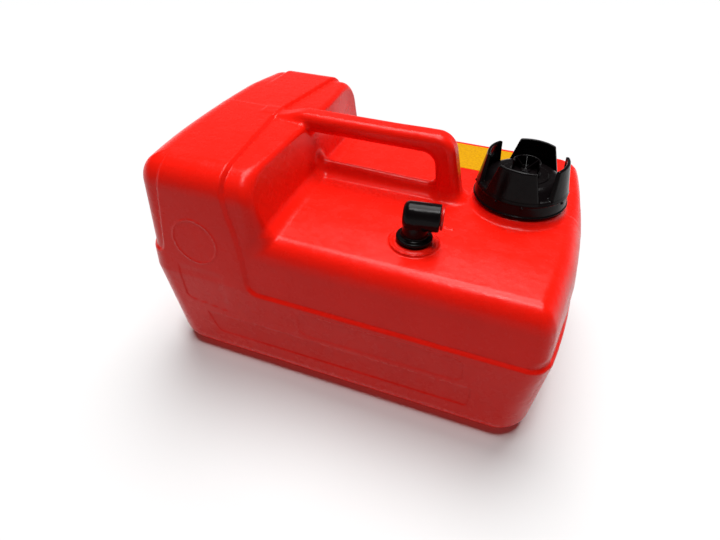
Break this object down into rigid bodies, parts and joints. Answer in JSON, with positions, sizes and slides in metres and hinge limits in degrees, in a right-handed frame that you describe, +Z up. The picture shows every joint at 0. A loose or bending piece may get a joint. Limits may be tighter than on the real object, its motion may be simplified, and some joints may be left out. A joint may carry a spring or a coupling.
{
  "type": "outboard fuel tank",
  "caption": "Blow-moulded red portable fuel tank with an integral carry handle, a lugged screw cap over a vent valve, and a swivel pickup elbow with tube and strainer.",
  "frame": {"origin": "centre of the bounding box at its bottom, on the surface that the tank stands on", "axes": "+Z up; +X along the tank from the high block towards the filler cap; +Y away from the pickup elbow's side, across the tank"},
  "size_m": [0.4, 0.277, 0.228],
  "materials": {
    "red_hdpe": "satin, as blow-moulded",
    "red_plug": "satin",
    "black_plastic": "satin, as injection-moulded",
    "natural_plastic": "satin",
    "rubber": "matt",
    "spring_steel": "bright drawn",
    "brass": "machined",
    "yellow_film": "printed film, satin"
  },
  "bodies": {
    "tank": {"tank_shell": "red_hdpe", "label_strip": "yellow_film"},
    "cap_seal": {"cap_gasket": "rubber"},
    "cap": {"cap_shell": "black_plastic", "cap_core": "black_plastic", "cap_retaining_ring": "black_plastic", "ratchet_ring": "natural_plastic", "vent_body": "natural_plastic", "vent_cover": "black_plastic", "vent_seal": "rubber", "vent_spring": "spring_steel"},
    "vent_valve": {"vent_poppet": "natural_plastic"},
    "pickup": {"pickup_elbow": "black_plastic", "pickup_o_ring": "rubber", "pickup_clip": "spring_steel", "outlet_insert": "brass", "check_seat": "brass", "check_spring": "spring_steel", "pickup_tube": "natural_plastic", "strainer_frame": "natural_plastic", "strainer_mesh": "spring_steel", "strainer_foot": "natural_plastic"},
    "ball": {"check_ball": "spring_steel"},
    "plug": {"outlet_plug": "red_plug"}
  },
  "joints": [
    {"name": "cap_lift", "type": "slide", "parent": "tank", "child": "cap_seal", "axis": [0, 0, 1], "range_m": [0, 0.0075]},
    {"name": "cap_turn", "type": "hinge", "parent": "cap_seal", "child": "cap", "pos_m": [0.1315, 0.015, 0.183], "axis": [0, 0, 1], "range_deg": [0, 540]},
    {"name": "vent_lift", "type": "slide", "parent": "cap", "child": "vent_valve", "axis": [0, 0, 1], "range_m": [0, 0.0025], "stiffness_N_per_m": 150, "springref_m": -0.003, "deforming": ["vent_spring"]},
    {"name": "elbow_swivel", "type": "hinge", "parent": "tank", "child": "pickup", "pos_m": [0.057, -0.0825, 0.168], "axis": [0, 0, 1], "continuous": true},
    {"name": "ball_lift", "type": "slide", "parent": "pickup", "child": "ball", "axis": [0, 0, 1], "range_m": [0, 0.003], "stiffness_N_per_m": 60, "springref_m": -0.002, "deforming": ["check_spring"]},
    {"name": "plug_pull", "type": "slide", "parent": "pickup", "child": "plug", "axis": [0.9877, 0.1564, 0], "range_m": [0, 0.04]}
  ],
  "couplings": [
    {"joint": "cap_lift", "follows": "cap_turn", "m_per_rad": 0.00079577}
  ]
}
